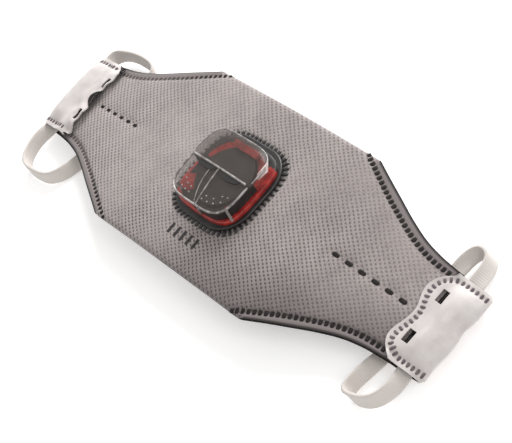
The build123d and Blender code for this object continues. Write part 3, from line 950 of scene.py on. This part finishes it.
tab_rows = [-18.5, -18.3, -17.8, -17.2, -16.6, -16.1, -15.6, -15.0, -14.2, -13.2, -12.2, -11.1,
            -9.9, -8.6, -7.3, -6.1, -4.9, -3.6, -2.2, -0.8]
tab_rows = np.array(tab_rows + [0.6] + [-r for r in tab_rows[::-1][1:]])
for hand, (sx, rim, slot_x) in TABS.items():
    columns = []
    for y in tab_rows:
        edge = float(curve_at(rim, y))
        flap_x = np.concatenate([np.linspace(edge, slot_x[0], 7), np.linspace(*slot_x, 5)[1:],
                                 np.linspace(slot_x[1], TAB_TOP[-1][0], 16)[1:]])
        xz = np.concatenate([np.stack([flap_x, curve_at(TAB_TOP, flap_x)], 1), turn_line])
        columns.append([(sx * (x - float(fold_in(x, y, sx))), y,
                         float(tab_shape(x, y, z, i < len(flap_x), sx < 0, rim)))
                        for i, (x, z) in enumerate(xz)])
    grid = np.array(columns).transpose(1, 0, 2)
    normal = normals_of(grid) * sx
    kept = np.ones((grid.shape[0] - 1, grid.shape[1] - 1), bool)
    centre = (grid[:-1, :-1] + grid[1:, 1:]) / 2
    for j in range(kept.shape[1]):
        if SLOT_Y[0] < abs(centre[0, j, 1]) < SLOT_Y[1]:
            kept[6:10, j] = False
    tab = solid_sheet(f"{hand}_tab_skin", grid, grid - normal * TAB_SKIN,
                      [white_tab, tab_inside_shade], keep=kept, inner_slot=1, flip=sx < 0)
    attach(tab, "front_panel")
    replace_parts(tab, f"{hand}_tab")

    def on_tab(x, y):
        z = float(curve_at(TAB_TOP, x))
        return (sx * x, y, float(tab_shape(x, y, z, True, sx < 0, rim)))

    end_row = [(x, END_ROW_Y) for x in np.linspace(115.6, 105.4, 12)]
    if hand == "right":
        rim_row = [(float(curve_at(rim, y)) + 1.9, y) for y in np.linspace(13.4, -13.4, 44)]
        turn_row = [(103.7, 15.8), (102.4, 15.0)]
        row = end_row + turn_row + rim_row + [(x, -y) for x, y in (end_row + turn_row)[::-1]]
        lines = [[on_tab(*p) for p in line_through(row, 110)]]
        pitch, block = 2.05, (1.15, 2.6, 0.8)
    else:
        end_row += [(x, END_ROW_Y) for x in np.linspace(104.6, 99.8, 6)]
        lines = [[on_tab(x, sy * y) for x, y in end_row] for sy in (1, -1)]
        pitch, block = 2.0, (1.1, 2.2, 0.7)
    pits = row_of_marks(f"{hand}_tab_welds", lines, pitch, block, 0.3, tab_pit)


# ---------------------------------------------------------------------------
# Valve flange, flap and rings
# Moulded parts as drawn: a dark welding flange, a grey silicone flap held by a
# red bar, and a dark ring behind the webs that takes the other side of the weld.
# ---------------------------------------------------------------------------
def moulded(name, light, shade, rough, coat, speckle):
    part = Finish(name, Coat_Weight=coat, Coat_Roughness=0.08, IOR=1.49)
    part.place()
    cloud = part.noise(0.25, 2.0)
    grain = part.noise(0.9, 2.0)
    part.set("Base Color", part.mix(cloud.step(0.3, 0.7) + (grain - 0.5) * speckle,
                                    light, shade))
    part.set("Roughness", grain * 0.15 + rough)
    return part.bump(cloud, 0.04)


# The flange's own dark colour, also used as painted shade on the seat, the wall under the cover and the vents.
dark_plastic = moulded("dark_plastic", tint(50, 46, 45), tint(32, 29, 29), 0.35, 0.15, 0.3)
red_plastic = moulded("red_plastic", tint(206, 54, 44), tint(150, 26, 24), 0.25, 0.5, 1.8)
flap_rubber = moulded("flap_silicone", tint(66, 59, 55), tint(50, 44, 41), 0.45, 0.0, 0.4)
for node, material in (("valve_flange", dark_plastic), ("valve_backing_ring", dark_plastic),
                       ("valve_flap", flap_rubber), ("flap_clamp", red_plastic)):
    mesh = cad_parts[node].data
    if not mesh.materials:
        mesh.materials.append(material)
    for i in range(len(mesh.materials)):
        mesh.materials[i] = material


# ---------------------------------------------------------------------------
# Weld teeth round the valve
# Where the flange is welded through the webs, melted plastic comes up between
# the horn's teeth and stands round the flange as a ring of dark glossy teeth.
# ---------------------------------------------------------------------------
TEETH_PITCH = 2.32
glossy_melt = moulded("glossy_melt", tint(44, 39, 38), tint(26, 22, 22), 0.3, 0.3, 0.5)


def squircle(half_x, half_y, count, z, power=4.0):
    """Points round a square with full corners, about the valve's middle."""
    ring = []
    for k in range(count):
        a = 2 * math.pi * k / count
        c, s = math.cos(a), math.sin(a)
        r = (abs(c / half_x)**power + abs(s / half_y)**power)**(-1 / power)
        ring.append((VALVE_X + r * c, VALVE_Y + r * s, z))
    return ring


def even_ring(ring, count):
    """The same closed line with evenly spaced points."""
    ring = np.array(ring + ring[:1])
    travel = travel_along(ring)
    at = np.linspace(0, travel[-1], count, endpoint=False)
    return np.stack([np.interp(at, travel, ring[:, k]) for k in range(3)], 1)


teeth_ring = [(x, y, float(front_face(np.float64(x), np.float64(y))) + 0.25) for x, y, z in
              even_ring(squircle(TEETH_X, TEETH_Y, 240, 0, 3.4), 220)]
teeth = row_of_marks("weld_teeth", [teeth_ring], TEETH_PITCH, (1.15, 2.9, 1.0), 0.4,
                     glossy_melt, closed=True)


# ---------------------------------------------------------------------------
# Valve seat
# Red moulding welded on the flange: a low wall, a flat top and an inner land
# that the flap closes on. The land and the parts of the seat under the cover are painted
# dark as shade, and a dark wall stands on it under the front of the cover as painted shade.
# ---------------------------------------------------------------------------
SEAT_X, SEAT_Y = 18.0, 16.5
SEAT_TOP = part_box("valve_seat")[1].z / MM - 0.4
SEAT_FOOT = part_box("valve_flange")[1].z / MM
LAND_RADIUS, LIP_RADIUS, BORE_RADIUS = 13.2, 12.0, 11.2
SLEEVE_DEPTH = 2.6
SEAT_STEPS = 128
WALL_X, WALL_Y, WALL_SKIN, WALL_RISE = 16.5, 15.75, 0.8, 4.6


def ring_sheet(name, rings, materials, slot_of):
    """A closed ring from loops of points, each loop joined to the next."""
    rings = np.array(rings)
    n, m = rings.shape[:2]
    faces, which = [], []
    for i in range(n):
        for j in range(m):
            a, b = i * m + j, i * m + (j + 1) % m
            c, d = (i + 1) % n * m + (j + 1) % m, (i + 1) % n * m + j
            faces.append((a, b, c, d))
            which.append(slot_of(i, *rings[i, j]))
    piece = make_piece(name, rings.reshape(-1, 3), faces, materials, which)
    piece.data.set_sharp_from_angle(angle=math.radians(40))
    return piece


def seat_ring(inset, z):
    return squircle(SEAT_X - inset, SEAT_Y - inset, SEAT_STEPS, z)


def round_ring(radius, z):
    return squircle(radius, radius, SEAT_STEPS, z, 2.0)


seat_rings = [seat_ring(0, SEAT_FOOT), seat_ring(0, SEAT_TOP - 0.5),
              seat_ring(0.15, SEAT_TOP - 0.15), seat_ring(0.5, SEAT_TOP),
              seat_ring(1.6, SEAT_TOP), squircle(15.8, 14.85, SEAT_STEPS, SEAT_TOP, 2.6),
              round_ring(LAND_RADIUS, SEAT_TOP),
              round_ring(LAND_RADIUS - 0.1, SEAT_TOP + 0.25),
              round_ring(LIP_RADIUS, SEAT_TOP + 0.25), round_ring(BORE_RADIUS + 0.2, SEAT_TOP),
              round_ring(BORE_RADIUS, SEAT_FOOT - SLEEVE_DEPTH),
              round_ring(13.0, SEAT_FOOT - SLEEVE_DEPTH),
              round_ring(13.3, SEAT_FOOT)]


def seat_red_or_shade(ring, x, y, z):
    """0 where the seat is red, 1 where it is painted dark as shade under the cover."""
    inner_land = 6 <= ring <= 11
    left_land = ring in (4, 5) and x < VALVE_X - 8 and -5 < y - VALVE_Y < 4
    front_land = ring in (4, 5) and y - VALVE_Y < -12.2
    upper_corners = ring <= 4 and (y > VALVE_Y + 12 or x < VALVE_X and y > VALVE_Y + 2)
    return 1 if inner_land or left_land or front_land or upper_corners else 0


seat = ring_sheet("red_seat", seat_rings, [red_plastic, dark_plastic], seat_red_or_shade)
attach(seat, "front_panel")
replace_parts(seat, "valve_seat")

# A dark wall under the front of the cover: painted shade in the cover's open sides.
wall_outer, wall_inner = [], []
for a in np.radians(np.linspace(-96, 8, 40)):
    c, s = math.cos(a), math.sin(a)
    r = (abs(c / WALL_X)**4 + abs(s / WALL_Y)**4)**-0.25
    for store, radius in ((wall_outer, r), (wall_inner, r - WALL_SKIN)):
        store.append([(VALVE_X + radius * c, VALVE_Y + radius * s, z)
                      for z in (SEAT_TOP + 0.02, SEAT_TOP + WALL_RISE)])
shadow_wall = solid_sheet("seat_shadow_wall", np.array(wall_outer), np.array(wall_inner), [dark_plastic])
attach(shadow_wall, "front_panel")


# ---------------------------------------------------------------------------
# Valve cover
# Clear plastic: a stepped lower plate on legs, a raised hood over the upper
# half, a bead along every edge painted pale as a highlight, a middle rib and two rows of pips.
# ---------------------------------------------------------------------------
COVER_X, COVER_Y = 16.7, 15.7
HOOD_X, HOOD_Y = 17.1, 15.2
PLATE_TOP = CROWN + 8.2
HOOD_RISE = 0.8
STEP_Y = 0.4
COVER_SKIN = 0.8
EDGE_BEAD, RIDGE_BEAD, FINE_BEAD = 0.42, 0.3, 0.16
LEGS = ((-13.2, -12.2, 0.5, 0.02), (15.5, -10.9, 0.6, 0.09), (-16.3, 0.4, 0.6, 0.02),
        (2.6, -15.6, 0.45, 0.03))
PIP_ROWS = ((0.83, 1.08, 1.40), (0.70, 1.04, 1.36), (0.80, 1.58, 1.84), (0.69, 1.62, 1.80))

clear = Finish("clear_plastic", Roughness=0.22, IOR=1.5, Alpha=0.2)
clear.place()
haze = clear.noise(0.15, 2.0)
clear.set("Base Color", clear.mix(haze, tint(122, 112, 106), tint(98, 89, 84)))
clear = clear.bump(haze, 0.02)
# pale finish for the beads and pips: a painted highlight along the clear plastic's edges
clear_edge_highlight = blotched("clear_edge_highlight", (0.5, 2.0, 0.35, 0.65), tint(214, 208, 204),
                      tint(150, 143, 140), Roughness=0.25, IOR=1.5, Alpha=0.75)
# A pale finish that glows a little: a painted highlight on the hood's end.
clear_painted_glint = Finish("clear_painted_glint", Roughness=0.2, Alpha=0.9, Emission_Strength=0.35)
clear_painted_glint.place()
clear_painted_glint.set("Base Color", clear_painted_glint.mix(clear_painted_glint.noise(0.6), tint(252, 246, 244),
                                              tint(226, 190, 186)))
clear_painted_glint.set("Emission Color", clear_painted_glint.mix(clear_painted_glint.noise(0.6), tint(255, 250, 248),
                                                  tint(235, 200, 196)))
clear_painted_glint = clear_painted_glint.material
cover_verts, cover_faces, cover_which = [], [], []
SHEET, BEAD, VENT_SHADE, GLINT = 0, 1, 2, 3


def add_shell(outer, inner, kind):
    """Joins a closed sheet of one kind of finish to the cover."""
    n, m = outer.shape[:2]
    base, size = len(cover_verts), n * m
    cover_verts.extend(outer.reshape(-1, 3))
    cover_verts.extend(inner.reshape(-1, 3))
    mark = lambda i, j: base + i * m + j
    for i in range(n - 1):
        for j in range(m - 1):
            a, b, c, d = mark(i, j), mark(i + 1, j), mark(i + 1, j + 1), mark(i, j + 1)
            cover_faces.append((a, b, c, d))
            cover_faces.append((a + size, d + size, c + size, b + size))
    rim = ([mark(i, 0) for i in range(n)] + [mark(n - 1, j) for j in range(1, m)]
           + [mark(i, m - 1) for i in range(n - 2, -1, -1)]
           + [mark(0, j) for j in range(m - 2, 0, -1)])
    for p, q in zip(rim, rim[1:] + rim[:1]):
        cover_faces.append((q, p, p + size, q + size))
    cover_which.extend([kind] * (len(cover_faces) - len(cover_which)))


def add_bead(line, radius):
    """A rounded bead along a line of points."""
    line = np.array(line, float)
    ahead = unit(np.gradient(line, axis=0))
    side = unit(np.cross(ahead, (0, 0, 1.0)))
    rise = np.cross(side, ahead)
    base, k = len(cover_verts), 8
    for p, s, r in zip(line, side, rise):
        for a in range(k):
            t = 2 * math.pi * a / k
            cover_verts.append(p + radius * (s * math.cos(t) + r * math.sin(t)))
    for i in range(len(line) - 1):
        for a in range(k):
            b = (a + 1) % k
            cover_faces.append((base + i * k + b, base + i * k + a,
                                base + (i + 1) * k + a, base + (i + 1) * k + b))
    cover_faces.append(tuple(base + a for a in range(k)))
    cover_faces.append(tuple(base + (len(line) - 1) * k + a for a in range(k))[::-1])
    cover_which.extend([BEAD] * (len(cover_faces) - len(cover_which)))


def reach(angle):
    """Distance from the middle to the cover's edge."""
    c, s = math.cos(angle), math.sin(angle)
    return (abs(c / COVER_X)**4 + abs(s / COVER_Y)**4)**-0.25


def plate_height(x, y):
    return PLATE_TOP - 0.5 * (x / COVER_X)**2 - 0.54 * max(0.0, -y / COVER_Y)**2


def hood_height(x, y):
    return PLATE_TOP + HOOD_RISE - 0.5 * (x / COVER_X)**2 - 1.0 * max(0.0, y / COVER_Y)**2


def hood_reach(angle):
    """Distance from the middle to the hood's edge; its right corner is rounder."""
    c, s = math.cos(angle), math.sin(angle)
    corner = 5.0 - 0.9 * float(ease(c, 0.0, 0.6)) * float(ease(s, 0.05, 0.4))
    return (abs(c / HOOD_X)**corner + abs(s / HOOD_Y)**corner)**(-1 / corner)


def half_x_at(y):
    return COVER_X * max(0.0, 1 - abs(y / COVER_Y)**4)**0.25


# lower plate
rows = []
for y in -COVER_Y * np.sin(np.linspace(0, math.pi / 2 * 0.985, 16)) * 0.995:
    wide = half_x_at(y)
    rows.append([(VALVE_X + x, VALVE_Y + y, plate_height(x, y))
                 for x in wide * np.linspace(-1, 1, 30)])
plate = np.array(rows)[::-1].transpose(1, 0, 2)
add_shell(plate, plate - (0, 0, COVER_SKIN), SHEET)

# hood: top and the skirt that comes down to the seat
rows = []
start = math.asin(STEP_Y / 16.9)
for a in np.linspace(start, math.pi - start, 88):
    r = hood_reach(a)
    c, s = math.cos(a), math.sin(a)
    line = []
    for f in (0.0, 0.25, 0.5, 0.7, 0.85, 0.93, 0.975, 1.0, 1.005, 1.01):
        x, y = r * f * c, STEP_Y + (r * s - STEP_Y) * f
        z = hood_height(x, y)
        soften = max(0.0, (f - 0.85) / 0.15)
        z -= 0.9 * min(1.0, soften)**2
        line.append((VALVE_X + x, VALVE_Y + y, z))
    top = line[-1][2]
    for depth in (0.25, 0.5, 0.75, 1.0):
        f = 1.012 - 0.1 * depth
        x, y = r * f * c, STEP_Y + (r * s - STEP_Y) * f
        line.append((VALVE_X + x, VALVE_Y + y, top + (SEAT_TOP - top) * depth))
    rows.append(line)
hood = np.array(rows)
normal = normals_of(hood)
inside = hood - COVER_SKIN * np.where(np.sum(normal * (hood - (VALVE_X, VALVE_Y + 4, CROWN)),
                                             axis=2, keepdims=True) > 0, normal, -normal)
add_shell(hood[::-1], inside[::-1], SHEET)

# beads along the edges, the step and the middle rib
lower_edge = []
for a in np.linspace(math.pi, 2 * math.pi, 50):
    r = reach(a)
    x, y = r * math.cos(a), r * math.sin(a)
    lower_edge.append((VALVE_X + x, VALVE_Y + y, plate_height(x, y) - 0.2))
add_bead(lower_edge, EDGE_BEAD)
add_bead([(VALVE_X + x, VALVE_Y + STEP_Y, hood_height(x, STEP_Y) - 0.15)
          for x in np.linspace(-15.8, 15.8, 30)], EDGE_BEAD)
add_bead([(VALVE_X + 2.6 * t**1.3, VALVE_Y - 15.8 * t,
           plate_height(2.6 * t, -15.8 * t) + 0.1) for t in np.linspace(0, 1, 20)],
         RIDGE_BEAD)
add_bead([(VALVE_X - 3.6 + 5.2 * t**2, VALVE_Y - 1.0 - 14.6 * t,
           plate_height(2.0 * t, -15.6 * t) + 0.1) for t in np.linspace(0, 1, 20)],
         FINE_BEAD)
upper_edge = []
for a in np.linspace(0.12, math.pi - 0.12, 50):
    r = hood_reach(a)
    x, y = r * math.cos(a), r * math.sin(a)
    upper_edge.append((VALVE_X + x, VALVE_Y + y, hood_height(x, y) - 0.72))
add_bead(upper_edge, RIDGE_BEAD)
# legs
for x, y, radius, spread in LEGS:
    add_bead([(VALVE_X + x * (1 + spread * t), VALVE_Y + y * (1 + spread * t),
               plate_height(x, y) - 0.3 + (SEAT_TOP - 0.4 - plate_height(x, y) + 0.3) * t)
              for t in np.linspace(0, 1, 5)], radius)
# a pale glowing plate at the hood's end: a painted highlight
top_corner, front_corner = np.array((16.9, 12.3, 25.8)), np.array((15.8, 6.6, 24.3))
foot_front, foot_back = np.array((14.8, 5.8, 21.3)), np.array((16.2, 10.2, 21.9))
end_plate = np.array([[top_corner * (1 - u) * (1 - v) + front_corner * u * (1 - v)
                       + foot_back * (1 - u) * v + foot_front * u * v
                       for v in np.linspace(0, 1, 5)] for u in np.linspace(0, 1, 5)])
add_shell(end_plate + (1.1, 0, 0), end_plate + (0.7, 0, 0), GLINT)
# two dark sheets in the vents under the hood's lip: painted shade
for x0, x1 in ((-12.5, -1.2), (0.6, 12.5)):
    vent_shade = np.array([[(VALVE_X + x, VALVE_Y - 0.4 + v * 1.8 * math.sqrt(max(0.0, 1 - (
        (2 * x - x0 - x1) / (x1 - x0) * 0.98)**2)), plate_height(x, 0) + 0.35)
        for v in np.linspace(-1, 0.2, 5)] for x in np.linspace(x0, x1, 14)])
    add_shell(vent_shade, vent_shade - (0, 0, 0.3), VENT_SHADE)
cover_piece = make_piece("clear_cover", cover_verts, cover_faces,
                         [clear, clear_edge_highlight, dark_plastic, clear_painted_glint], cover_which)
cover_piece.data.set_sharp_from_angle(angle=math.radians(45))
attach(cover_piece, "front_panel")
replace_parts(cover_piece, "valve_cover")

pip_rows = []
for lift, turn_from, turn_to in PIP_ROWS:
    row = []
    for a in np.linspace(turn_from * math.pi, turn_to * math.pi, 30):
        x, y = reach(a) * lift * math.cos(a), reach(a) * lift * math.sin(a)
        row.append((VALVE_X + x, VALVE_Y + y, plate_height(x, y) + 0.05))
    pip_rows.append(row)
pips = row_of_marks("cover_pips", pip_rows, 2.6, (0.7, 0.7, 0.5), 0.2, clear_edge_highlight)
